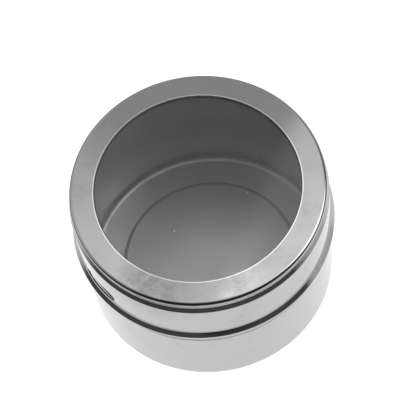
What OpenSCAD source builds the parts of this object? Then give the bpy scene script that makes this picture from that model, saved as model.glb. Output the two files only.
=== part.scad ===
// Round steel spice tin: a shallow drawn can with a magnet under its base, and a
// turning lid with a clear window, a pour slot and a group of sifting holes.
// Millimetres, +Z up. The origin is the centre of the face that the tin stands on.

/* [Can] */
// Radius of the can's straight wall, outside
can_r = 31.7; // [30:0.1:34]
// How much narrower the neck is than the can's wall
neck_step = 0.2; // [0.1:0.05:0.5]
// Height of the shoulder where the neck starts
shoulder_z = 21.6; // [16:0.1:24]
// Outside radius of the corner between wall and foot
foot_corner = 2; // [1:0.1:4]
// Thickness of the can's sheet
can_sheet = 0.4; // [0.3:0.05:0.5]

/* [Magnet pocket] */
// Radius of the pocket pressed into the base
pocket_r = 22.4; // [15:0.1:24]
// Depth of the pocket
pocket_depth = 2.2; // [1.5:0.1:3]
// Gap between magnet and pocket wall
magnet_gap = 0.9; // [0.5:0.1:2]
// Thickness of the adhesive disc
tape_thickness = 0.2; // [0.1:0.05:0.4]

/* [Lid] */
// Overall height of the closed tin
overall_h = 43.5; // [41:0.5:50]
// Radius of the lid's raised top, outside
top_r = 31.75; // [31.7:0.05:31.9]
// Radius of the lid's skirt, outside
skirt_r = 32.2; // [32.1:0.1:34]
// Height of the raised top's short wall and its corner
collar_h = 2.5; // [2.3:0.1:3]
// Radius of the flared and curled hem, outside
hem_r = 33.08; // [32.9:0.02:33.4]
// Depth of the lid, from its top to the middle of its hem's curl
lid_depth = 17; // [15:0.1:18]
// Thickness of the lid's sheet
lid_sheet = 0.35; // [0.3:0.05:0.4]

/* [Window] */
// Radius of the window opening
window_r = 25.7; // [20:0.1:27]
// Thickness of the clear pane
pane_thickness = 1; // [0.8:0.1:1.2]
// Radius of the opening in the ring that holds the pane
retainer_bore_r = 27.4; // [26:0.1:29]
// Thickness of the retaining ring's sheet
retainer_sheet = 0.4; // [0.3:0.05:0.5]

/* [Openings in the side] */
// Length of the pour slot
slot_length = 10.8; // [6:0.2:16]
// Height of the pour slot
slot_height = 4; // [2:0.2:6]
// Depth of the openings' centres below the lid's top
opening_depth = 12.1; // [9:0.1:13]
// Direction of the pour slot
slot_azimuth = 209.7; // [0:0.1:360]
// Radius of one sifting hole
sift_r = 1; // [0.5:0.1:1.2]
// Distance from the middle sifting hole to those around it
sift_pitch = 3.2; // [2.6:0.1:3.6]
// Number of sifting holes around the middle one
sift_count = 6; // [4:1:6]

/* [Hidden] */
$fn = 96;
ARC_STEPS = 8;
CUT = 8;
REST_GAP = 0.05;
RUNNING_FIT = 0.08;

can_mid_r = can_r - can_sheet / 2;
neck_mid_r = can_mid_r - neck_step;
shoulder_rise = 0.4;
foot_bend = foot_corner - can_sheet / 2;
pocket_bend = 1;
foot_z = can_sheet / 2;
floor_z = pocket_depth + can_sheet / 2;
pocket_wall_r = pocket_r + can_sheet / 2;

magnet_r = pocket_r - magnet_gap;
magnet_thickness = pocket_depth - tape_thickness;
magnet_chamfer = 0.3;

lid_under = overall_h - lid_sheet;
top_mid_r = top_r - lid_sheet / 2;
skirt_mid_r = skirt_r - lid_sheet / 2;
top_bend = 0.725;
corner_r = top_mid_r - top_bend;
corner_z = overall_h - lid_sheet / 2 - top_bend;
collar_lean = 8;
flare_in = 0.3;
flare_out = 0.6;
flare_angle = 26;
flare_z = overall_h - collar_h;
collar_top_z = corner_z - (top_bend + flare_in) * sin(collar_lean);
flare_r = corner_r + (top_bend + flare_in) * cos(collar_lean) - (collar_top_z - flare_z) * tan(collar_lean);
flare_step = skirt_mid_r - flare_r + flare_in * cos(flare_angle) - flare_out * (1 - cos(flare_angle));
skirt_z = flare_z - (flare_in + flare_out) * sin(flare_angle) - flare_step / tan(flare_angle);
hem_mid_r = hem_r - lid_sheet / 2;
hem_in = 0.35;
hem_bend = 0.425;
hem_angle = 33;
hem_end = -170;
hem_z = overall_h - lid_depth;
hem_step = hem_mid_r - skirt_mid_r - (hem_in + hem_bend) * (1 - cos(hem_angle));
hem_top_z = hem_z + (hem_in + hem_bend) * sin(hem_angle) + hem_step / tan(hem_angle);
rim_z = skirt_z;

collar_bore_r = flare_r - flare_in - lid_sheet / 2;
pane_r = corner_r - REST_GAP;
pane_z = lid_under - REST_GAP - pane_thickness;
retainer_r = collar_bore_r - RUNNING_FIT;
retainer_bend = 0.5;
retainer_drop = 1.3;

opening_z = overall_h - opening_depth;
sift_azimuth = slot_azimuth + 180;
can_opening_azimuth = slot_azimuth + 90;

// Points along an arc in the profile plane.
function arc(x, z, r, from, to) =
    [for (i = [0:ARC_STEPS]) let (a = from + (to - from) * i / ARC_STEPS) [x + r * cos(a), z + r * sin(a)]];

// One face of a bent sheet. A path is a list of bends [x, z, radius, from, to] along the
// sheet's middle; a bend of radius 0 is a plain end whose angle points to the right-hand face.
function face(path, offset) =
    [for (b = path) each (b[2] == 0
        ? [[b[0] + offset * cos(b[3]), b[1] + offset * sin(b[3])]]
        : arc(b[0], b[1], b[2] + (b[4] < b[3] ? -offset : offset), b[3], b[4]))];

function backwards(points) = [for (i = [len(points) - 1:-1:0]) points[i]];

// A sheet of the given thickness bent along a path and turned around the tin's axis.
module spun_sheet(path, thickness) {
    rotate_extrude()
        polygon(concat(face(path, thickness / 2), backwards(face(path, -thickness / 2))));
}

// A slot outline with round ends, centred on the origin.
module slot_outline(length, height) {
    square([length - height, height], center = true);
    for (side = [-1, 1])
        translate([side * (length - height) / 2, 0])
            circle(d = height);
}

// A straight punch through the side wall, pointing outwards at the given direction.
module side_punch(azimuth) {
    rotate([0, 0, azimuth])
        translate([skirt_r - CUT / 2, 0, opening_z])
            rotate([90, 0, 90])
                linear_extrude(CUT)
                    children();
}

// The drawn can: pocketed base, foot ring, wall, shoulder and neck, with a dispensing opening.
module can_body() {
    path = [
        [0, floor_z, 0, -90, -90],
        [pocket_wall_r - pocket_bend, floor_z - pocket_bend, pocket_bend, 90, 0],
        [pocket_wall_r + pocket_bend, foot_z + pocket_bend, pocket_bend, 180, 270],
        [can_mid_r - foot_bend, foot_z + foot_bend, foot_bend, 270, 360],
        [can_mid_r, shoulder_z, 0, 0, 0],
        [neck_mid_r, shoulder_z + shoulder_rise, 0, 0, 0],
        [neck_mid_r, rim_z, 0, 0, 0]
    ];
    color("silver")
        difference() {
            spun_sheet(path, can_sheet);
            side_punch(can_opening_azimuth)
                slot_outline(slot_length, slot_height);
        }
}

// The magnet disc, flush with the foot ring, with a small chamfer round its lower edge.
module base_magnet() {
    color("dimgray")
        rotate_extrude()
            polygon([
                [0, 0],
                [magnet_r - magnet_chamfer, 0],
                [magnet_r, magnet_chamfer],
                [magnet_r, magnet_thickness],
                [0, magnet_thickness]
            ]);
}

// The adhesive disc between the magnet and the can.
module magnet_tape() {
    color("gainsboro")
        translate([0, 0, magnet_thickness])
            cylinder(r = magnet_r - magnet_chamfer, h = tape_thickness);
}

// The lid: flat rim round the window, short wall, flared step, skirt and curled hem.
module lid_shell() {
    path = [
        [window_r, overall_h - lid_sheet / 2, 0, -90, -90],
        [corner_r, corner_z, top_bend, 90, -collar_lean],
        [flare_r, flare_z, flare_in, 180 - collar_lean, 180 + flare_angle],
        [skirt_mid_r - flare_out, skirt_z, flare_out, flare_angle, 0],
        [skirt_mid_r + hem_in, hem_top_z, hem_in, 180, 180 + hem_angle],
        [hem_mid_r - hem_bend, hem_z, hem_bend, hem_angle, 0],
        [hem_mid_r - hem_bend, hem_z, hem_bend, 0, hem_end]
    ];
    color("lightgray")
        difference() {
            spun_sheet(path, lid_sheet);
            side_punch(slot_azimuth)
                slot_outline(slot_length, slot_height);
            side_punch(sift_azimuth)
                for (i = [0:sift_count])
                    rotate(i * 360 / sift_count)
                        translate([i == sift_count ? 0 : sift_pitch, 0])
                            circle(r = sift_r);
        }
}

// The clear round pane under the lid's flat rim.
module window_pane() {
    color([0.85, 0.9, 0.95, 0.4])
        translate([0, 0, pane_z])
            cylinder(r = pane_r, h = pane_thickness);
}

// The ring that holds the pane up: a flat flange with a short wall turned down.
module window_retainer() {
    ring_z = pane_z - retainer_sheet / 2;
    ring_mid_r = retainer_r - retainer_sheet / 2;
    path = [
        [retainer_bore_r, ring_z, 0, -90, -90],
        [ring_mid_r - retainer_bend, ring_z - retainer_bend, retainer_bend, 90, 0],
        [ring_mid_r, ring_z - retainer_drop, 0, 180, 180]
    ];
    color("darkgray")
        spun_sheet(path, retainer_sheet);
}

can_body();
base_magnet();
magnet_tape();
lid_shell();
window_pane();
window_retainer();
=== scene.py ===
"""The looks of a small round steel spice tin with a turning window lid.

It is built around the part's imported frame. Each sheet-metal part is drawn as the middle line of
its sheet, spun round the tin's axis, given the sheet's thickness, punched, and softened at its
cut edges. Lengths in the classes are in millimetres.
"""

import logging
import math
from dataclasses import dataclass, field
from enum import Enum

import bmesh
import bpy
from mathutils import Matrix, Vector


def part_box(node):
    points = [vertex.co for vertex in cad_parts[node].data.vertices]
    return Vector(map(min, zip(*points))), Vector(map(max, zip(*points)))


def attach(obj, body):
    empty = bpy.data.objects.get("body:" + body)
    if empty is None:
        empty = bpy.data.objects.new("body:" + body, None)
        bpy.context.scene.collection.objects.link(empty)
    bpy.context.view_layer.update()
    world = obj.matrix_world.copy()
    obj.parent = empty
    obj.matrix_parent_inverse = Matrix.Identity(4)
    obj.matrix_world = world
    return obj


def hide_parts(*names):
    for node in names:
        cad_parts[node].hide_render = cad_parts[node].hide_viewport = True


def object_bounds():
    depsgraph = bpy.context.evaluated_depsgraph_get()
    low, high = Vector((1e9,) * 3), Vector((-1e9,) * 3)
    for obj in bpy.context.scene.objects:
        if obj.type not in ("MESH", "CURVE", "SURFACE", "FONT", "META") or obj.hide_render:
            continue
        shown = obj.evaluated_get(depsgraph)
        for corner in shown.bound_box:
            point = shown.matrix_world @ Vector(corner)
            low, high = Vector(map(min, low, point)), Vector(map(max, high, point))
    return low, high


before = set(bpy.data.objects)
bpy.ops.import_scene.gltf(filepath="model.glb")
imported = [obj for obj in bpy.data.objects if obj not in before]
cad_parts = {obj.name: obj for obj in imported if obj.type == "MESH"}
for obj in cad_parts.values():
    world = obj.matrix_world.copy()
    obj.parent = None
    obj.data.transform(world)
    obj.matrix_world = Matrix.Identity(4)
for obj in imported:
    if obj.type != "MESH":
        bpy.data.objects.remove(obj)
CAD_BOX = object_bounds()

LOG = logging.getLogger("spice_tin")
MM = 0.001
SPIN_STEPS = 288
HOLE_CORNERS = 32
MERGE_DISTANCE = 1e-7
CUT_EDGE_ANGLE = math.radians(40)
SHARP_ANGLE = math.radians(38)
SHADING_WEIGHT = 60
WHITE = (1.0, 1.0, 1.0, 1.0)

Socket = bpy.types.NodeSocket
Value = float | tuple | Socket
Spot = tuple[float, float, float]


class Body(Enum):
    """The bodies of the frame that pieces ride on."""

    CAN = "can"
    WINDOW_UNIT = "window_unit"
    LID = "lid"


class Turn(Enum):
    """Which way a bend turns as the pen moves along a sheet's middle line."""

    LEFT = 1
    RIGHT = -1


# --- Drawing and forming sheet metal ---


@dataclass
class SheetPen:
    """Draws the middle line of a sheet in the plane of the radius and the axis, in millimetres."""

    bm: bmesh.types.BMesh
    x: float
    z: float
    heading: float = 0.0

    def __post_init__(self) -> None:
        """Puts the pen down at its starting place."""
        self.tip = self.bm.verts.new((self.x * MM, 0, self.z * MM))

    def run(self, length: float) -> "SheetPen":
        """Draws a straight stretch.

        Args:
            length: How far to go, in millimetres.

        Returns:
            The pen, so that calls can follow each other.
        """
        self.tip = bmesh.ops.extrude_vert_indiv(self.bm, verts=[self.tip])["verts"][0]
        angle = math.radians(self.heading)
        step = Vector((math.cos(angle), 0, math.sin(angle))) * length * MM
        bmesh.ops.translate(self.bm, verts=[self.tip], vec=step)
        return self

    def bend(self, turn: Turn, radius: float, degrees: float, steps: int = 8) -> "SheetPen":
        """Draws a round bend.

        Args:
            turn: Which way it turns.
            radius: The bend's radius at the sheet's middle, in millimetres.
            degrees: How far it turns.
            steps: The number of straight steps that stand for the arc.

        Returns:
            The pen, so that calls can follow each other.
        """
        angle = math.radians(self.heading)
        side = Vector((-math.sin(angle), 0, math.cos(angle))) * turn.value
        centre = self.tip.co + side * radius * MM
        made = bmesh.ops.spin(
            self.bm,
            geom=[self.tip],
            cent=centre,
            axis=(0, -turn.value, 0),
            dvec=(0, 0, 0),
            angle=math.radians(degrees),
            steps=steps,
            use_merge=False,
            use_normal_flip=False,
            use_duplicate=False,
        )
        self.tip = made["geom_last"][0]
        self.heading += turn.value * degrees
        return self

    def tip_place(self) -> tuple[float, float]:
        """Returns the tip's radius and height, in millimetres."""
        return self.tip.co.x / MM, self.tip.co.z / MM

    def run_to_x(self, x: float) -> "SheetPen":
        """Draws straight on until the tip is at radius x, in millimetres."""
        return self.run((x - self.tip_place()[0]) / math.cos(math.radians(self.heading)))

    def run_to_z(self, z: float) -> "SheetPen":
        """Draws straight on until the tip is at height z, in millimetres."""
        return self.run((z - self.tip_place()[1]) / math.sin(math.radians(self.heading)))


def taken(radius: float, degrees: float) -> float:
    """Returns how far a bend goes sideways when it turns a line by these degrees to upright."""
    return radius * (1 - math.cos(math.radians(degrees)))


def linked_object(name: str, mesh: bpy.types.Mesh) -> bpy.types.Object:
    """Returns a new object with this mesh, linked to the scene."""
    made = bpy.data.objects.new(name, mesh)
    bpy.context.scene.collection.objects.link(made)
    return made


def object_from(name: str, bm: bmesh.types.BMesh) -> bpy.types.Object:
    """Turns a finished bmesh into a linked object.

    Args:
        name: The object's name.
        bm: The bmesh, which is freed.

    Returns:
        The new object.
    """
    mesh = bpy.data.meshes.new(name)
    bm.to_mesh(mesh)
    bm.free()
    return linked_object(name, mesh)


def spin_round_axis(bm: bmesh.types.BMesh) -> None:
    """Spins the drawn line a full turn round the tin's axis and closes its poles.

    Args:
        bm: The bmesh that holds the line.
    """
    bmesh.ops.spin(
        bm,
        geom=bm.verts[:] + bm.edges[:],
        cent=(0, 0, 0),
        axis=(0, 0, 1),
        dvec=(0, 0, 0),
        angle=math.tau,
        steps=SPIN_STEPS,
        use_merge=True,
        use_normal_flip=False,
        use_duplicate=False,
    )
    bmesh.ops.remove_doubles(bm, verts=bm.verts[:], dist=MERGE_DISTANCE)
    bmesh.ops.recalc_face_normals(bm, faces=bm.faces[:])


def settle(piece: bpy.types.Object) -> None:
    """Replaces a piece's mesh by what its modifiers make of it, and removes them.

    Args:
        piece: The piece.
    """
    graph = bpy.context.evaluated_depsgraph_get()
    before = piece.data
    piece.data = bpy.data.meshes.new_from_object(piece.evaluated_get(graph), depsgraph=graph)
    piece.data.name = piece.name
    piece.modifiers.clear()
    bpy.data.meshes.remove(before)


def thicken(
    piece: bpy.types.Object,
    sheet: float,
    faces: list[bpy.types.Material],
    cut: bpy.types.Material | None = None,
) -> None:
    """Gives a spun surface the sheet's thickness, half to each side, and its finishes.

    Args:
        piece: The open spun surface.
        sheet: The thickness, in millimetres.
        faces: The finish of one side, and of the other side if it differs.
        cut: The finish of the sheet's cut ends, if it differs.
    """
    for finish in faces + [cut] * bool(cut):
        piece.data.materials.append(finish)
    wall = piece.modifiers.new("sheet", "SOLIDIFY")
    wall.material_offset = len(faces) - 1
    wall.material_offset_rim = len(faces) if cut else 0
    wall.thickness = sheet * MM
    wall.offset = 0
    wall.use_even_offset = True
    settle(piece)


def punch(piece: bpy.types.Object, cutter: bpy.types.Object) -> None:
    """Cuts openings through a piece and removes the cutter.

    Args:
        piece: The piece.
        cutter: The object whose shape is taken away.
    """
    cut = piece.modifiers.new("punch", "BOOLEAN")
    cut.operation = "DIFFERENCE"
    cut.solver = "EXACT"
    cut.object = cutter
    settle(piece)
    tool = cutter.data
    bpy.data.objects.remove(cutter)
    bpy.data.meshes.remove(tool)


def soften(piece: bpy.types.Object, width: float, segments: int = 3) -> None:
    """Rounds the cut edges of a piece and smooths the rest of its surface.

    Args:
        piece: The piece.
        width: The width of the rounding, in millimetres.
        segments: The number of faces across the rounding.
    """
    edge = piece.modifiers.new("cut_edges", "BEVEL")
    edge.width = width * MM
    edge.segments = segments
    edge.limit_method = "ANGLE"
    edge.angle_limit = CUT_EDGE_ANGLE
    edge.harden_normals = False
    settle(piece)
    piece.data.shade_smooth()
    piece.data.set_sharp_from_angle(angle=SHARP_ANGLE)
    weighted = piece.modifiers.new("even_shading", "WEIGHTED_NORMAL")
    weighted.keep_sharp = True
    weighted.weight = SHADING_WEIGHT
    settle(piece)


@dataclass
class SidePunch:
    """A straight punch through the tin's side: a bmesh that slots and round holes are added to.

    Attributes:
        azimuth: The direction that it points in, in degrees.
        height: The height of its middle, in millimetres.
        reach: The radius of the wall that it goes through, in millimetres.
        depth: Its own length, in millimetres.
        bm: The bmesh.
    """

    azimuth: float
    height: float
    reach: float
    depth: float = 6.0
    bm: bmesh.types.BMesh = field(default_factory=bmesh.new)

    def slot(self, length: float, width: float, corners: int = 48) -> "SidePunch":
        """Adds a slot with round ends.

        Args:
            length: The slot's length round the tin, in millimetres.
            width: Its height, in millimetres.
            corners: The number of corners round both ends together.

        Returns:
            The punch.
        """
        ring = bmesh.ops.create_circle(
            self.bm,
            cap_ends=True,
            segments=corners,
            radius=width / 2 * MM,
            matrix=Matrix.Rotation(math.pi / corners, 4, "Z"),
        )["verts"]
        for side in (-1, 1):
            half = [v for v in ring if v.co.x * side > 0]
            shift = Vector((side * (length - width) / 2 * MM, 0, 0))
            bmesh.ops.translate(self.bm, verts=half, vec=shift)
        made = bmesh.ops.extrude_face_region(self.bm, geom=list(ring[0].link_faces))["geom"]
        raised = [g for g in made if isinstance(g, bmesh.types.BMVert)]
        bmesh.ops.translate(self.bm, verts=raised, vec=(0, 0, self.depth * MM))
        return self

    def hole(self, x: float, y: float, radius: float) -> "SidePunch":
        """Adds a round hole.

        Args:
            x: Its place round the tin from the punch's middle, in millimetres.
            y: Its place above the punch's middle, in millimetres.
            radius: Its radius, in millimetres.

        Returns:
            The punch.
        """
        bmesh.ops.create_cone(
            self.bm,
            cap_ends=True,
            segments=HOLE_CORNERS,
            radius1=radius * MM,
            radius2=radius * MM,
            depth=self.depth * MM,
            matrix=Matrix.Translation((x * MM, y * MM, self.depth / 2 * MM)),
        )
        return self

    def cutter(self) -> bpy.types.Object:
        """Returns the punch as an object that points outwards through the side of the tin."""
        bmesh.ops.recalc_face_normals(self.bm, faces=self.bm.faces[:])
        quarter = math.radians(90)
        outwards = Matrix.Rotation(quarter, 4, "Z") @ Matrix.Rotation(quarter, 4, "X")
        out = Matrix.Translation(((self.reach - self.depth / 2) * MM, 0, self.height * MM))
        turned = Matrix.Rotation(math.radians(self.azimuth), 4, "Z") @ out @ outwards
        bmesh.ops.transform(self.bm, matrix=turned, verts=self.bm.verts[:])
        return object_from("punch", self.bm)


# --- Finishes ---


@dataclass
class Wiring:
    """Adds nodes to a shader tree and links their sockets."""

    tree: bpy.types.NodeTree

    def fill(self, node: bpy.types.Node, inputs: dict[str | int, Value]) -> None:
        """Sets a node's inputs, or links them to the sockets that feed them.

        Args:
            node: The node.
            inputs: Socket name or number to a value, or to the socket that feeds it.
        """
        for name, value in inputs.items():
            if isinstance(value, Socket):
                self.tree.links.new(value, node.inputs[name])
            else:
                node.inputs[name].default_value = value

    def node(
        self, kind: str, inputs: dict[str | int, Value] | None = None, **settings: object
    ) -> bpy.types.Node:
        """Adds a node.

        Args:
            kind: The node's type name.
            inputs: Its inputs, as fill takes them.
            settings: Properties of the node itself.

        Returns:
            The node.
        """
        made = self.tree.nodes.new(kind)
        for name, value in settings.items():
            setattr(made, name, value)
        self.fill(made, inputs or {})
        return made

    def math(self, operation: str, a: Value, b: Value = 0.0, clamp: bool = False) -> Socket:
        """Returns the result of a math node on a and b."""
        made = self.node("ShaderNodeMath", {0: a, 1: b}, operation=operation, use_clamp=clamp)
        return made.outputs[0]

    def vector(self, operation: str, a: Value, b: Value = (0.0, 0.0, 0.0)) -> Socket:
        """Returns the vector result of a vector math node on a and b."""
        return self.node("ShaderNodeVectorMath", {0: a, 1: b}, operation=operation).outputs[0]

    def measure(self, operation: str, a: Value, b: Value = (0.0, 0.0, 0.0)) -> Socket:
        """Returns the single value of a vector math node on a and b."""
        made = self.node("ShaderNodeVectorMath", {0: a, 1: b}, operation=operation)
        return made.outputs["Value"]

    def grey(self, value: Socket) -> Socket:
        """Returns a value as a grey colour."""
        return self.node("ShaderNodeCombineColor", {0: value, 1: value, 2: value}).outputs[0]

    def ramp(
        self, value: Socket, low: Value, high: Value, to_low: Value = 0.0, to_high: Value = 1.0
    ) -> Socket:
        """Makes a smooth step.

        Args:
            value: The value that it follows.
            low: The value at which it starts.
            high: The value at which it ends.
            to_low: What it gives up to its start.
            to_high: What it gives from its end.

        Returns:
            The step.
        """
        inputs = {
            "Value": value, "From Min": low, "From Max": high, "To Min": to_low, "To Max": to_high
        }
        return self.node("ShaderNodeMapRange", inputs, interpolation_type="SMOOTHSTEP").outputs[0]

    def bump(
        self, height: Socket, depth: float, under: dict[str, Socket] | None = None
    ) -> Socket:
        """Returns the normal of a relief this deep, in millimetres, on the one under it."""
        inputs = {"Height": height, "Distance": depth * MM} | (under or {})
        return self.node("ShaderNodeBump", inputs).outputs[0]

    def near(self, vector: Socket, spot: Value, inner: float, outer: float) -> Socket:
        """Returns 1 up to the inner distance from a spot, and 0 beyond the outer one."""
        return self.ramp(self.measure("DISTANCE", vector, spot), inner, outer, 1.0, 0.0)

    def radius(self, vector: Socket) -> Socket:
        """Returns the distance from the tin's axis."""
        return self.measure("LENGTH", self.vector("MULTIPLY", vector, (1.0, 1.0, 0.0)))

    def noise(
        self, vector: Socket, scale: Value, detail: float = 3.0, roughness: float = 0.55
    ) -> Socket:
        """Returns a noise value round 0.5."""
        inputs = {"Vector": vector, "Scale": scale, "Detail": detail, "Roughness": roughness}
        return self.node("ShaderNodeTexNoise", inputs).outputs[0]


@dataclass
class Effect:
    """A shader node group that more than one finish uses, built once."""

    name: str
    inputs: dict[str, float]
    output: str

    def __post_init__(self) -> None:
        """Makes the group with its sockets."""
        self.group = bpy.data.node_groups.new(self.name, "ShaderNodeTree")
        face = self.group.interface
        face.new_socket(name="Vector", in_out="INPUT", socket_type="NodeSocketVector")
        for name, value in self.inputs.items():
            socket = face.new_socket(name=name, in_out="INPUT", socket_type="NodeSocketFloat")
            socket.default_value = value
        face.new_socket(name=self.output, in_out="OUTPUT", socket_type="NodeSocketFloat")
        self.wiring = Wiring(self.group)
        self.given = self.wiring.node("NodeGroupInput").outputs

    def put_out(self, value: Socket) -> "Effect":
        """Makes value the group's output and returns the effect."""
        self.wiring.node("NodeGroupOutput", {self.output: value})
        return self

    def used_in(self, wiring: Wiring, vector: Socket, **values: float) -> Socket:
        """Places the group in a material.

        Args:
            wiring: The material's wiring.
            vector: The coordinates that the pattern follows.
            values: The group's inputs that differ from their defaults.

        Returns:
            The group's output.
        """
        node = wiring.node("ShaderNodeGroup", node_tree=self.group)
        wiring.fill(node, {"Vector": vector} | values)
        return node.outputs[0]


class Effects:
    """The effects that the tin's finishes share."""

    def __init__(self) -> None:
        """Builds every group."""
        self.smudges = self._smudges()
        self.draw_lines = self._draw_lines()
        self.hairlines = self._hairlines()
        self.specks = self._specks()
        self.sheet_waves = self._sheet_waves()

    @staticmethod
    def _smudges() -> Effect:
        """Returns handling marks: soft patches with a finer mottle in them."""
        effect = Effect("smudges", {"Scale": 90.0}, "Mask")
        w, given = effect.wiring, effect.given
        patch = w.ramp(w.noise(given["Vector"], given["Scale"], 2.0), 0.42, 0.7)
        finer = w.math("MULTIPLY", given["Scale"], 7.0)
        mottle = w.ramp(w.noise(given["Vector"], finer, 5.0, 0.7), 0.35, 0.75)
        both = w.math("MULTIPLY", patch, w.math("ADD", w.math("MULTIPLY", mottle, 0.7), 0.3))
        return effect.put_out(both)

    @staticmethod
    def _draw_lines() -> Effect:
        """Returns fine lines along the axis on walls, and along the radius on flat faces."""
        effect = Effect("draw_lines", {"Count": 60.0, "Amount": 1.0}, "Height")
        w, given = effect.wiring, effect.given
        flat = w.vector("MULTIPLY", given["Vector"], (1.0, 1.0, 0.0))
        ring = w.vector("NORMALIZE", flat)
        slow = w.vector("MULTIPLY", given["Vector"], (0.0, 0.0, 6.0))
        at = w.vector("ADD", ring, slow)
        coarse = w.noise(at, given["Count"], 2.0)
        fine = w.noise(at, w.math("MULTIPLY", given["Count"], 5.0), 2.0)
        lines = w.math("ADD", w.math("MULTIPLY", coarse, 0.5), w.math("MULTIPLY", fine, 0.5))
        return effect.put_out(w.math("MULTIPLY", lines, given["Amount"]))

    @staticmethod
    def _hairlines() -> Effect:
        """Returns sparse, thin, curving scratches."""
        effect = Effect("hairlines", {"Scale": 40.0, "Width": 0.003}, "Mask")
        w, given = effect.wiring, effect.given
        turn = {"Vector": given["Vector"], "Rotation": (0.4, 0.7, 0.5)}
        turned = w.node("ShaderNodeMapping", turn).outputs[0]
        stretched = w.vector("MULTIPLY", turned, (1.0, 0.18, 1.0))
        away = w.math("ABSOLUTE", w.math("SUBTRACT", w.noise(stretched, given["Scale"], 1.0), 0.5))
        line = w.ramp(away, 0.0, given["Width"], 1.0, 0.0)
        finer = w.math("MULTIPLY", given["Scale"], 2.5)
        gaps = w.ramp(w.noise(given["Vector"], finer, 1.0), 0.52, 0.6)
        return effect.put_out(w.math("MULTIPLY", line, gaps))

    @staticmethod
    def _specks() -> Effect:
        """Returns small scattered dots."""
        effect = Effect("specks", {"Scale": 300.0, "Size": 0.12, "Share": 0.2}, "Mask")
        w, given = effect.wiring, effect.given
        pattern = {name: given[name] for name in ("Vector", "Scale")}
        cells = w.node("ShaderNodeTexVoronoi", pattern)
        core = w.math("MULTIPLY", given["Size"], 0.4)
        dot = w.ramp(cells.outputs["Distance"], core, given["Size"], 1.0, 0.0)
        red = w.node("ShaderNodeSeparateColor", {"Color": cells.outputs["Color"]}).outputs[0]
        kept = w.math("LESS_THAN", red, given["Share"])
        return effect.put_out(w.math("MULTIPLY", dot, kept))

    @staticmethod
    def _sheet_waves() -> Effect:
        """Returns the slow unevenness of formed sheet."""
        effect = Effect("sheet_waves", {"Scale": 45.0, "Amount": 1.0}, "Height")
        w, given = effect.wiring, effect.given
        slow = w.noise(given["Vector"], given["Scale"], 1.0)
        fine = w.noise(given["Vector"], w.math("MULTIPLY", given["Scale"], 6.0), 2.0)
        both = w.math("ADD", slow, w.math("MULTIPLY", fine, 0.04))
        return effect.put_out(w.math("MULTIPLY", both, given["Amount"]))


def new_material(name: str) -> tuple[bpy.types.Material, Wiring, bpy.types.Node, Socket]:
    """Makes a node material.

    Args:
        name: The material's name.

    Returns:
        The material, its wiring, its Principled shader and the piece's own coordinates.
    """
    material = bpy.data.materials.new(name)
    material.use_nodes = True
    wiring = Wiring(material.node_tree)
    shader = material.node_tree.nodes["Principled BSDF"]
    return material, wiring, shader, wiring.node("ShaderNodeTexCoord").outputs["Object"]


@dataclass(frozen=True)
class Nick:
    """A fine scratch with a dot at each end.

    Attributes:
        start: One end, in metres.
        end: The other end, in metres.
        line_width: The distance from its middle at which the scratch ends, in millimetres.
        dot_radius: The radius of the dots, in millimetres.
        line_share: The scratch's strength beside that of the dots.
    """

    start: Spot
    end: Spot
    line_width: float = 0.1
    dot_radius: float = 0.3
    line_share: float = 0.45

    def mask(self, w: Wiring, at: Socket) -> Socket:
        """Returns where the scratch is, from 0 to 1.

        Args:
            w: The material's wiring.
            at: The piece's own coordinates.

        Returns:
            The mask.
        """
        along = Vector(self.end) - Vector(self.start)
        gone = w.vector("SUBTRACT", at, self.start)
        share = w.measure("DOT_PRODUCT", gone, tuple(along / along.length_squared))
        share = w.math("ADD", share, 0.0, clamp=True)
        share = w.node("ShaderNodeCombineXYZ", {"X": share, "Y": share, "Z": share}).outputs[0]
        foot = w.vector("ADD", w.vector("MULTIPLY", share, tuple(along)), self.start)
        line = w.near(at, foot, 0.4 * self.line_width * MM, self.line_width * MM)
        core, rim = 0.5 * self.dot_radius * MM, self.dot_radius * MM
        dots = w.math("MAXIMUM", *(w.near(at, end, core, rim) for end in (self.start, self.end)))
        return w.math("MAXIMUM", w.math("MULTIPLY", line, self.line_share), dots)


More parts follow.
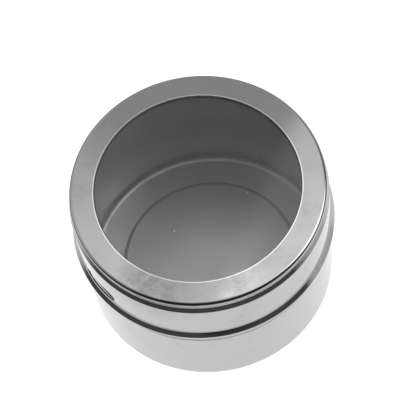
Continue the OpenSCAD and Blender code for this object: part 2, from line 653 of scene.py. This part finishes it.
@dataclass(frozen=True)
class SteelFinish:
    """Formed stainless sheet: how bright, how dull, how wavy and how marked it is.

    Attributes:
        name: The material's name.
        tone: The steel's brightness.
        roughness: Its roughness where it is clean.
        smudge: The roughness that smudges add.
        soil: The share of the tone that smudges take away.
        lines: The strength of the drawing lines.
        waves: The strength of the sheet's waves.
        scratches: The roughness that hairlines add.
        wave_depth: The height of the waves, in millimetres.
        line_depth: The depth of the lines, in millimetres.
        base_roughness: The roughness below base_top, if it differs.
        base_top: The height up to which it differs, in millimetres.
        highlight_radius: The radius inside which painted highlight brightens the steel, in
            millimetres.
        handled: The middle of a patch of handling marks, in metres.
        nick: A scratch.
        line_shade: The share of the tone by which the lines change it.
        speck_shade: The share of the tone that specks take away.
        handled_shade: The share of the tone that handling marks take away.
        handled_roughness: The roughness that handling marks add.
        nick_shade: The share of the tone that the scratch takes away.
    """

    name: str
    tone: float
    roughness: float
    smudge: float = 0.06
    soil: float = 0.05
    lines: float = 1.0
    waves: float = 1.0
    scratches: float = 0.05
    wave_depth: float = 0.012
    line_depth: float = 0.0006
    base_roughness: float | None = None
    base_top: float = 3.0
    highlight_radius: float | None = None
    handled: Spot | None = None
    nick: Nick | None = None
    line_shade: float = 0.12
    speck_shade: float = 0.2
    handled_shade: float = 0.3
    handled_roughness: float = 0.08
    nick_shade: float = 0.65

    def roughness_at(self, w: Wiring, at: Socket, smudges: Socket) -> Socket:
        """Returns the roughness before scratches: clean steel, smudges and the base.

        Args:
            w: The material's wiring.
            at: The piece's own coordinates.
            smudges: Where the smudges are.

        Returns:
            The roughness.
        """
        rough = w.math("ADD", w.math("MULTIPLY", smudges, self.smudge), self.roughness)
        if self.base_roughness:
            height = w.node("ShaderNodeSeparateXYZ", {"Vector": at}).outputs["Z"]
            low = w.ramp(height, (self.base_top - 0.4) * MM, (self.base_top + 0.4) * MM, 1.0, 0.0)
            more = w.math("MULTIPLY", low, self.base_roughness - self.roughness)
            rough = w.math("ADD", rough, more)
        return rough

    def build(self, effects: Effects) -> bpy.types.Material:
        """Builds the material.

        Args:
            effects: The shared effects.

        Returns:
            The material.
        """
        material, w, shader, at = new_material(self.name)
        smudges = effects.smudges.used_in(w, at, Scale=95.0)
        hairs = effects.hairlines.used_in(w, at, Scale=55.0, Width=0.004)
        specks = effects.specks.used_in(w, at, Scale=420.0, Size=0.16, Share=0.08)
        lines = effects.draw_lines.used_in(w, at, Count=70.0, Amount=self.lines)
        waves = effects.sheet_waves.used_in(w, at, Scale=38.0, Amount=self.waves)
        soiled = w.math("SUBTRACT", self.tone, w.math("MULTIPLY", smudges, self.tone * self.soil))
        lined = w.math("SUBTRACT", lines, 0.5 * self.lines)
        lined = w.math("MULTIPLY", lined, self.tone * self.line_shade)
        speckled = w.math("MULTIPLY", specks, self.tone * self.speck_shade)
        shade = w.math("SUBTRACT", w.math("ADD", soiled, lined), speckled)
        rough = self.roughness_at(w, at, smudges)
        # Painted highlight: the steel's tone is doubled in a thin ring at the window's edge,
        # standing in for the bright line that light catches there.
        if self.highlight_radius:
            inner, outer = self.highlight_radius * MM, (self.highlight_radius + 0.15) * MM
            painted_highlight = w.ramp(w.radius(at), inner, outer, 1.0, 0.0)
            shade = w.math("ADD", shade, w.math("MULTIPLY", painted_highlight, self.tone))
        if self.handled:
            mottle = w.ramp(w.noise(at, 420.0, 4.0, 0.65), 0.38, 0.62, 0.35, 1.0)
            patch = w.near(at, self.handled, 3.0 * MM, 13.0 * MM)
            touched = w.math("MULTIPLY", patch, mottle)
            darker = w.math("MULTIPLY", touched, self.tone * self.handled_shade)
            shade = w.math("SUBTRACT", shade, darker)
            rough = w.math("ADD", rough, w.math("MULTIPLY", touched, self.handled_roughness))
        if self.nick:
            scored = w.math("MULTIPLY", self.nick.mask(w, at), self.tone * self.nick_shade)
            shade = w.math("SUBTRACT", shade, scored)
        rough = w.math("ADD", rough, w.math("MULTIPLY", hairs, self.scratches))
        wavy = w.bump(waves, self.wave_depth)
        looks = {"Base Color": w.grey(shade), "Roughness": rough, "Metallic": 1.0}
        w.fill(shader, looks | {"Normal": w.bump(lines, self.line_depth, {"Normal": wavy})})
        return material


@dataclass(frozen=True)
class PaneFinish:
    """Clear plastic with faint wipe marks, a few specks of dust and painted shade in a thin ring
    at its visible edge.

    Attributes:
        name: The material's name.
        roughness: Its roughness where it is clean.
        ior: Its index of refraction.
        tone: The light that it lets through where it is clean.
        dust_shade: The light that dust takes away.
        dust_roughness: The roughness that dust adds.
        wiped: The roughness that wipe marks and smudges add.
        shade_rim_radius: The radius at which the painted shade at the pane's edge starts, in
            millimetres.
        shade_rim_share: The share of the light that the painted shade takes away.
    """

    name: str
    roughness: float = 0.02
    ior: float = 1.46
    tone: float = 0.98
    dust_shade: float = 0.25
    dust_roughness: float = 0.5
    wiped: float = 0.03
    shade_rim_radius: float = 25.4
    shade_rim_share: float = 0.4

    def build(self, effects: Effects) -> bpy.types.Material:
        """Builds the material.

        Args:
            effects: The shared effects.

        Returns:
            The material.
        """
        material, w, shader, at = new_material(self.name)
        specks = effects.specks.used_in(w, at, Scale=260.0, Size=0.1, Share=0.1)
        hairs = effects.hairlines.used_in(w, at, Scale=60.0, Width=0.0025)
        smudges = effects.smudges.used_in(w, at, Scale=70.0)
        rough = w.math("ADD", w.math("MULTIPLY", specks, self.dust_roughness), self.roughness)
        rough = w.math("ADD", rough, w.math("MULTIPLY", hairs, self.wiped))
        rough = w.math("ADD", rough, w.math("MULTIPLY", smudges, self.wiped))
        shade = w.math("SUBTRACT", self.tone, w.math("MULTIPLY", specks, self.dust_shade))
        # Painted shade: a thin ring at the pane's visible edge is darkened, standing in for the
        # shadowed gap under the steel rim.
        inner, outer = (self.shade_rim_radius - 0.1) * MM, (self.shade_rim_radius + 0.1) * MM
        painted_rim_shade = w.ramp(w.radius(at), inner, outer)
        clean = w.math("SUBTRACT", 1.0, w.math("MULTIPLY", painted_rim_shade, self.shade_rim_share))
        looks = {"Base Color": w.grey(w.math("MULTIPLY", shade, clean)), "Roughness": rough}
        w.fill(shader, looks | {"Transmission Weight": 1.0, "IOR": self.ior})
        return material


@dataclass(frozen=True)
class MagnetFinish:
    """Dark bonded-ferrite sheet with a fine powdery grain."""

    name: str
    tone: float = 0.035
    grain_depth: float = 0.02

    def build(self, effects: Effects) -> bpy.types.Material:
        """Builds the material.

        Args:
            effects: The shared effects.

        Returns:
            The material.
        """
        material, w, shader, at = new_material(self.name)
        grain = w.noise(at, 3500.0, 4.0, 0.7)
        dust = effects.specks.used_in(w, at, Scale=700.0, Size=0.2, Share=0.15)
        smudges = effects.smudges.used_in(w, at, Scale=60.0)
        shade = w.math("ADD", self.tone, w.math("MULTIPLY", dust, 0.05))
        shade = w.math("ADD", shade, w.math("MULTIPLY", smudges, 0.012))
        rough = w.math("ADD", 0.5, w.math("MULTIPLY", grain, 0.25))
        looks = {"Base Color": w.grey(shade), "Roughness": rough}
        w.fill(shader, looks | {"Normal": w.bump(grain, self.grain_depth)})
        return material


@dataclass(frozen=True)
class TapeFinish:
    """Pale foam film with open cells at its edge."""

    name: str
    tone: float = 0.72
    roughness: float = 0.7
    cell_depth: float = 0.02

    def build(self, effects: Effects) -> bpy.types.Material:
        """Builds the material.

        Args:
            effects: The shared effects.

        Returns:
            The material.
        """
        material, w, shader, at = new_material(self.name)
        cells = effects.specks.used_in(w, at, Scale=2500.0, Size=0.3, Share=0.6)
        shade = w.math("SUBTRACT", self.tone, w.math("MULTIPLY", cells, 0.15))
        looks = {"Base Color": w.grey(shade), "Roughness": self.roughness}
        w.fill(shader, looks | {"Normal": w.bump(cells, self.cell_depth)})
        return material


# --- The tin's parts ---


def fitted(piece: bpy.types.Object, body: Body, node: str) -> bpy.types.Object:
    """Gives a finished piece its place in the frame.

    Args:
        piece: The piece.
        body: The body that it rides on.
        node: The node that it stands for.

    Returns:
        The piece.
    """
    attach(piece, body.value)
    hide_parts(node)
    return piece


@dataclass
class Can:
    """The drawn can with its magnet and the adhesive disc between them."""

    sheet: float = 0.4
    radius: float = 31.7
    neck_step: float = 0.2
    shoulder_height: float = 21.6
    shoulder_slope: float = 24.0
    shoulder_bend: float = 0.4
    foot_corner: float = 2.0
    pocket_radius: float = 22.4
    pocket_depth: float = 2.2
    pocket_bend: float = 1.0
    opening_length: float = 10.8
    opening_width: float = 4.0
    opening_height: float = 31.4
    opening_azimuth: float = 299.7
    cut_edge: float = 0.08
    magnet_edge: float = 0.25
    tape_edge: float = 0.04

    def __post_init__(self) -> None:
        """Reads the rim's height from the frame."""
        self.rim_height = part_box("can_body")[1].z / MM

    def shell(self, faces: list[bpy.types.Material]) -> bpy.types.Object:
        """Makes the drawn can: pocketed base, foot ring, wall, shoulder, neck and opening.

        Args:
            faces: The finishes of its outside and its inside.

        Returns:
            The can.
        """
        bm = bmesh.new()
        middle = self.radius - self.sheet / 2
        foot_bend = self.foot_corner - self.sheet / 2
        pen = SheetPen(bm, 0, self.pocket_depth + self.sheet / 2)
        pen.run_to_x(self.pocket_radius + self.sheet / 2 - self.pocket_bend)
        pen.bend(Turn.RIGHT, self.pocket_bend, 90, steps=12)
        pen.run_to_z(self.sheet / 2 + self.pocket_bend)
        pen.bend(Turn.LEFT, self.pocket_bend, 90, steps=12)
        pen.run_to_x(middle - foot_bend)
        pen.bend(Turn.LEFT, foot_bend, 90, steps=14)
        pen.run_to_z(self.shoulder_height)
        pen.bend(Turn.LEFT, self.shoulder_bend, self.shoulder_slope, steps=4)
        pen.run_to_x(middle - self.neck_step + taken(self.shoulder_bend, self.shoulder_slope))
        pen.bend(Turn.RIGHT, self.shoulder_bend, self.shoulder_slope, steps=4)
        pen.run_to_z(self.rim_height)
        spin_round_axis(bm)
        shell = object_from("can_shell", bm)
        thicken(shell, self.sheet, faces)
        opening = SidePunch(self.opening_azimuth, self.opening_height, self.radius)
        punch(shell, opening.slot(self.opening_length, self.opening_width).cutter())
        soften(shell, self.cut_edge)
        return shell

    @staticmethod
    def disc(name: str, node: str, edge: float, finish: bpy.types.Material) -> bpy.types.Object:
        """Makes a flat disc as large as a node of the frame.

        Args:
            name: The piece's name.
            node: The node that gives its size and place.
            edge: The width of its rounded edges, in millimetres.
            finish: Its material.

        Returns:
            The disc.
        """
        low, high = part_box(node)
        bm = bmesh.new()
        bmesh.ops.create_circle(bm, cap_ends=True, segments=SPIN_STEPS, radius=high.x)
        bmesh.ops.translate(bm, verts=bm.verts[:], vec=(0, 0, low.z))
        bmesh.ops.inset_region(bm, faces=bm.faces[:], thickness=high.x * 0.4, use_even_offset=True)
        made = bmesh.ops.extrude_face_region(bm, geom=bm.faces[:])["geom"]
        raised = [g for g in made if isinstance(g, bmesh.types.BMVert)]
        bmesh.ops.translate(bm, verts=raised, vec=(0, 0, high.z - low.z))
        bmesh.ops.recalc_face_normals(bm, faces=bm.faces[:])
        disc = object_from(name, bm)
        disc.data.materials.append(finish)
        soften(disc, edge)
        return disc

    def build(self, effects: Effects) -> list[bpy.types.Object]:
        """Makes the can, the magnet and the tape.

        Args:
            effects: The shared effects.

        Returns:
            The pieces.
        """
        outside = SteelFinish("can_steel", tone=0.43, roughness=0.16)
        inside = SteelFinish(
            "can_inner_steel",
            tone=0.44,
            roughness=0.34,
            base_roughness=0.46,
            scratches=0.0,
            waves=0.5,
        )
        shell = self.shell([outside.build(effects), inside.build(effects)])
        magnet = MagnetFinish("magnet_ferrite").build(effects)
        tape = TapeFinish("foam_tape").build(effects)
        magnet_disc = self.disc("magnet_disc", "base_magnet", self.magnet_edge, magnet)
        tape_disc = self.disc("tape_disc", "magnet_tape", self.tape_edge, tape)
        return [
            fitted(shell, Body.CAN, "can_body"),
            fitted(magnet_disc, Body.CAN, "base_magnet"),
            fitted(tape_disc, Body.CAN, "magnet_tape"),
        ]


@dataclass
class Lid:
    """The formed lid shell with its pour slot, sifting holes and rolled hem."""

    sheet: float = 0.35
    window_radius: float = 25.7
    top_radius: float = 31.75
    top_bend: float = 0.725
    collar_lean: float = 8.0
    skirt_radius: float = 32.2
    groove_height: float = 1.85
    groove_bend: float = 0.2
    groove_turn: float = 25.0
    collar_height: float = 2.46
    flare_bend_in: float = 0.3
    flare_bend_out: float = 0.6
    flare_angle: float = 26.0
    hem_radius: float = 33.07
    hem_start: float = 15.42
    hem_bend_in: float = 0.35
    hem_bend_out: float = 0.425
    hem_angle: float = 33.0
    hem_curl: float = 170.0
    slot_length: float = 10.8
    slot_width: float = 4.0
    opening_depth: float = 12.1
    slot_azimuth: float = 209.7
    sift_radius: float = 1.0
    sift_pitch: float = 3.2
    sift_count: int = 6
    cut_edge: float = 0.14

    def __post_init__(self) -> None:
        """Reads the lid's top from the frame."""
        self.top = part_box("lid_shell")[1].z / MM

    def shell(self, face: bpy.types.Material, cut: bpy.types.Material) -> bpy.types.Object:
        """Makes the lid: flat rim, short wall, flared step, skirt with its openings, and hem.

        Args:
            face: The finish of its faces.
            cut: The finish of its cut edges.

        Returns:
            The lid's shell.
        """
        bm = bmesh.new()
        half = self.sheet / 2
        pen = SheetPen(bm, self.window_radius, self.top - half)
        pen.run_to_x(self.top_radius - half - self.top_bend)
        pen.bend(Turn.RIGHT, self.top_bend, 90 + self.collar_lean, steps=14)
        pen.run_to_z(self.top - self.groove_height)
        pen.bend(Turn.RIGHT, self.groove_bend, self.groove_turn, steps=3)
        pen.bend(Turn.LEFT, self.groove_bend, 2 * self.groove_turn, steps=6)
        pen.bend(Turn.RIGHT, self.groove_bend, self.groove_turn, steps=3)
        pen.run_to_z(self.top - self.collar_height)
        pen.bend(Turn.LEFT, self.flare_bend_in, self.collar_lean + self.flare_angle, steps=6)
        pen.run_to_x(self.skirt_radius - half - taken(self.flare_bend_out, self.flare_angle))
        pen.bend(Turn.RIGHT, self.flare_bend_out, self.flare_angle)
        pen.run_to_z(self.top - self.hem_start)
        pen.bend(Turn.LEFT, self.hem_bend_in, self.hem_angle, steps=6)
        pen.run_to_x(self.hem_radius - half - taken(self.hem_bend_out, self.hem_angle))
        pen.bend(Turn.RIGHT, self.hem_bend_out, self.hem_angle, steps=4)
        pen.bend(Turn.RIGHT, self.hem_bend_out, self.hem_curl, steps=16)
        spin_round_axis(bm)
        shell = object_from("lid_formed_shell", bm)
        thicken(shell, self.sheet, [face], cut)
        punch(shell, self.pour_punch().cutter())
        punch(shell, self.sift_punch().cutter())
        soften(shell, self.cut_edge)
        return shell

    def pour_punch(self) -> SidePunch:
        """Returns the punch for the pour slot."""
        tool = SidePunch(self.slot_azimuth, self.top - self.opening_depth, self.skirt_radius)
        return tool.slot(self.slot_length, self.slot_width)

    def sift_punch(self) -> SidePunch:
        """Makes the punch for the sifting holes, opposite the slot.

        Returns:
            The punch.
        """
        tool = SidePunch(self.slot_azimuth + 180, self.top - self.opening_depth, self.skirt_radius)
        tool.hole(0, 0, self.sift_radius)
        for i in range(self.sift_count):
            angle = math.tau * i / self.sift_count
            x, y = self.sift_pitch * math.cos(angle), self.sift_pitch * math.sin(angle)
            tool.hole(x, y, self.sift_radius)
        return tool

    def spot(self, azimuth: float, radius: float, depth: float) -> Spot:
        """Returns a place on the lid, in metres.

        Args:
            azimuth: Its direction, in degrees.
            radius: Its distance from the axis, in millimetres.
            depth: How far it is below the lid's top, in millimetres.

        Returns:
            The place.
        """
        a = math.radians(azimuth)
        return (radius * math.cos(a) * MM, radius * math.sin(a) * MM, (self.top - depth) * MM)

    def build(self, effects: Effects) -> list[bpy.types.Object]:
        """Makes the lid's shell and dresses it.

        Args:
            effects: The shared effects.

        Returns:
            The one piece.
        """
        face = SteelFinish(
            "lid_steel",
            tone=0.42,
            roughness=0.045,
            smudge=0.1,
            soil=0.12,
            lines=0.7,
            # painted highlight along the window's edge
            highlight_radius=self.window_radius + 0.15,
            handled=self.spot(240, 28.6, 0),
            nick=Nick(
                start=self.spot(314, self.skirt_radius, 7.6),
                end=self.spot(316.5, self.skirt_radius, 13.2),
            ),
        )
        # The cut ends are the same steel, only rougher; their near-white tone is a painted
        # highlight along the edges.
        cut = SteelFinish("cut_steel_painted_highlight", tone=0.95, roughness=0.55, lines=0.5, scratches=0.0)
        shell = self.shell(face.build(effects), cut.build(effects))
        return [fitted(shell, Body.LID, "lid_shell")]


@dataclass
class WindowUnit:
    """The clear pane and the ring that holds it."""

    retainer_bore: float = 27.4
    retainer_sheet: float = 0.4
    retainer_bend: float = 0.5
    ring_edge: float = 0.06
    pane_edge: float = 0.15

    def pane(self, finish: bpy.types.Material) -> bpy.types.Object:
        """Returns the clear pane."""
        return Can.disc("clear_pane", "window_pane", self.pane_edge, finish)

    def ring(self, finish: bpy.types.Material) -> bpy.types.Object:
        """Makes the retaining ring: a flange with a short wall turned down.

        Args:
            finish: Its material.

        Returns:
            The ring.
        """
        low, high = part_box("window_retainer")
        bm = bmesh.new()
        pen = SheetPen(bm, self.retainer_bore, high.z / MM - self.retainer_sheet / 2)
        pen.run_to_x(high.x / MM - self.retainer_sheet / 2 - self.retainer_bend)
        pen.bend(Turn.RIGHT, self.retainer_bend, 90)
        pen.run_to_z(low.z / MM)
        spin_round_axis(bm)
        ring = object_from("pane_ring", bm)
        thicken(ring, self.retainer_sheet, [finish])
        soften(ring, self.ring_edge, segments=2)
        return ring

    def build(self, effects: Effects) -> list[bpy.types.Object]:
        """Makes the pane and its ring and dresses them.

        Args:
            effects: The shared effects.

        Returns:
            The pieces.
        """
        clear = PaneFinish("clear_plastic").build(effects)
        steel = SteelFinish("ring_steel", tone=0.45, roughness=0.28).build(effects)
        return [
            fitted(self.pane(clear), Body.WINDOW_UNIT, "window_pane"),
            fitted(self.ring(steel), Body.WINDOW_UNIT, "window_retainer"),
        ]


# --- The studio ---


@dataclass(frozen=True)
class SoftLobe:
    """A round patch of light in the studio's sky, with all its angles in degrees.

    Attributes:
        azimuth: The direction of its middle.
        elevation: The height of its middle.
        inner: The angle from its middle at which it starts to fade.
        outer: The angle from its middle at which it ends.
        strength: Its brightness.
    """

    azimuth: float
    elevation: float
    inner: float
    outer: float
    strength: float

    def add_to(self, w: Wiring, direction: Socket, light: Socket) -> Socket:
        """Adds the lobe to the sky.

        Args:
            w: The sky's wiring.
            direction: The direction that is looked in.
            light: The sky's light so far.

        Returns:
            The light with this lobe.
        """
        a, e = math.radians(self.azimuth), math.radians(self.elevation)
        towards = (math.cos(a) * math.cos(e), math.sin(a) * math.cos(e), math.sin(e))
        facing = w.measure("DOT_PRODUCT", direction, towards)
        inner, outer = math.cos(math.radians(self.inner)), math.cos(math.radians(self.outer))
        return w.math("ADD", light, w.ramp(facing, outer, inner, 0.0, self.strength))


@dataclass(frozen=True)
class FloorPool:
    """A round pool of light on the floor, with its sizes in metres.

    Attributes:
        x: The place of its middle, to the right.
        y: The place of its middle, to the back.
        inner: The distance from its middle at which it starts to fade.
        outer: The distance from its middle at which it ends.
        strength: Its brightness.
    """

    x: float
    y: float
    inner: float
    outer: float
    strength: float

    def glow(self, w: Wiring, at: Socket) -> Socket:
        """Returns the pool's light at a place on the floor."""
        inside = w.near(at, (self.x, self.y, 0), self.inner, self.outer)
        return w.math("MULTIPLY", inside, self.strength)


@dataclass
class Studio:
    """The floor, the soft light and the camera.

    Attributes:
        floor_size: The width of the floor, in metres.
        floor_drop: How far the floor is below the tin's foot, in millimetres.
        floor_tone: The floor's own brightness.
        far_glow: The light of the floor outside its pools.
        pools: The pools of light on the floor.
        dark: The light of the sky outside its lobes.
        lobes: The patches of light in the sky.
        lens: The camera's focal length, in millimetres.
        sensor: The width of its sensor, in millimetres.
        clip_start: The distance from which it sees things, in metres.
        elevation: The angle at which it looks down, in degrees.
        roll: How far it is turned round its own axis, in degrees.
        unit: The length that its aim and distance are given in, in millimetres.
        aim_right: How far it looks past the lid's middle to the right, in units.
        aim_up: How far it looks past the lid's middle upwards, in units.
        distance: How far it is from the lid's middle, in units.
    """

    floor_size: float = 6.0
    floor_drop: float = 0.02
    floor_tone: float = 0.06
    far_glow: float = 0.06
    pools: tuple[FloorPool, ...] = (
        FloorPool(x=0.01, y=0.025, inner=0.092, outer=0.14, strength=1.12),
        FloorPool(x=0.24, y=0.06, inner=0.15, outer=0.21, strength=0.7),
    )
    dark: float = 0.03
    lobes: tuple[SoftLobe, ...] = (
        SoftLobe(azimuth=110, elevation=5, inner=50, outer=88, strength=0.51),
        SoftLobe(azimuth=270, elevation=88, inner=27.5, outer=32.5, strength=0.52),
        SoftLobe(azimuth=38.2, elevation=66.4, inner=20.5, outer=21.0, strength=0.44),
        SoftLobe(azimuth=160, elevation=45, inner=39.7, outer=40.1, strength=0.24),
        SoftLobe(azimuth=15, elevation=0, inner=20, outer=40, strength=0.15),
        SoftLobe(azimuth=355, elevation=58, inner=12, outer=32, strength=0.9),
        SoftLobe(azimuth=90, elevation=83, inner=6, outer=12, strength=0.5),
        SoftLobe(azimuth=88.9, elevation=64.9, inner=0.1, outer=0.8, strength=0.5),
        SoftLobe(azimuth=0, elevation=45, inner=10, outer=26, strength=2.2),
    )
    lens: float = 179.2
    sensor: float = 36.0
    clip_start: float = 0.01
    elevation: float = 62.66
    roll: float = -10.08
    unit: float = 31.5
    aim_right: float = -0.0817
    aim_up: float = 0.167
    distance: float = 16.07

    def sky(self) -> None:
        """Builds the soft light: dark on the camera's side, with lobes above, behind and right."""
        world = bpy.data.worlds.new("studio_sky")
        world.use_nodes = True
        w = Wiring(world.node_tree)
        direction = w.node("ShaderNodeTexCoord").outputs["Generated"]
        light = w.math("ADD", self.dark, 0.0)
        for lobe in self.lobes:
            light = lobe.add_to(w, direction, light)
        background = world.node_tree.nodes["Background"]
        w.fill(background, {"Strength": light, "Color": WHITE})
        bpy.context.scene.world = world

    def floor(self) -> None:
        """Lays the dark floor with its soft pools of light. It is clear when seen from below."""
        bm = bmesh.new()
        bmesh.ops.create_grid(bm, x_segments=1, y_segments=1, size=self.floor_size / 2)
        floor = object_from("floor", bm)
        floor.location.z = -self.floor_drop * MM
        material, w, shader, at = new_material("floor_paper")
        tone = self.floor_tone
        glow = w.math("ADD", self.far_glow, 0.0)
        for pool in self.pools:
            glow = w.math("MAXIMUM", glow, pool.glow(w, at))
        paper = {"Base Color": (tone, tone, tone, 1), "Roughness": 1.0, "Specular IOR Level": 0.0}
        w.fill(shader, paper | {"Emission Color": WHITE, "Emission Strength": glow})
        clear = w.node("ShaderNodeBsdfTransparent").outputs[0]
        from_below = w.node("ShaderNodeNewGeometry").outputs["Backfacing"]
        sides = {0: from_below, 1: shader.outputs[0], 2: clear}
        seen = w.node("ShaderNodeMixShader", sides).outputs[0]
        w.fill(material.node_tree.nodes["Material Output"], {"Surface": seen})
        floor.data.materials.append(material)

    def camera(self) -> None:
        """Places the camera above the tin, a little rolled, looking at its lid."""
        e, r = math.radians(self.elevation), math.radians(self.roll)
        forward = Vector((0, math.cos(e), -math.sin(e)))
        level, upright = Vector((1, 0, 0)), Vector((0, math.sin(e), math.cos(e)))
        right = math.cos(r) * level + math.sin(r) * upright
        up = -math.sin(r) * level + math.cos(r) * upright
        back_off = right * self.aim_right + up * self.aim_up + forward * self.distance
        eye = Vector((0, 0, CAD_BOX[1].z)) - back_off * self.unit * MM
        data = bpy.data.cameras.new("camera")
        data.lens = self.lens
        data.sensor_width = self.sensor
        data.clip_start = self.clip_start
        camera = bpy.data.objects.new("camera", data)
        bpy.context.scene.collection.objects.link(camera)
        turn = Matrix((right, up, -forward)).transposed().to_4x4()
        camera.matrix_world = Matrix.Translation(eye) @ turn
        bpy.context.scene.camera = camera

    def build(self) -> None:
        """Sets up the sky, the floor, the camera and plain picture tones."""
        self.sky()
        self.floor()
        self.camera()
        bpy.context.scene.view_settings.view_transform = "Standard"


def main() -> None:
    """Builds the tin and the studio, and reports each piece."""
    logging.basicConfig(level=logging.INFO, format="%(name)s: %(message)s")
    effects = Effects()
    for assembly in (Can(), Lid(), WindowUnit()):
        for piece in assembly.build(effects):
            LOG.info("%s: %d faces", piece.name, len(piece.data.polygons))
    Studio().build()


if __name__ == "__main__":
    main()
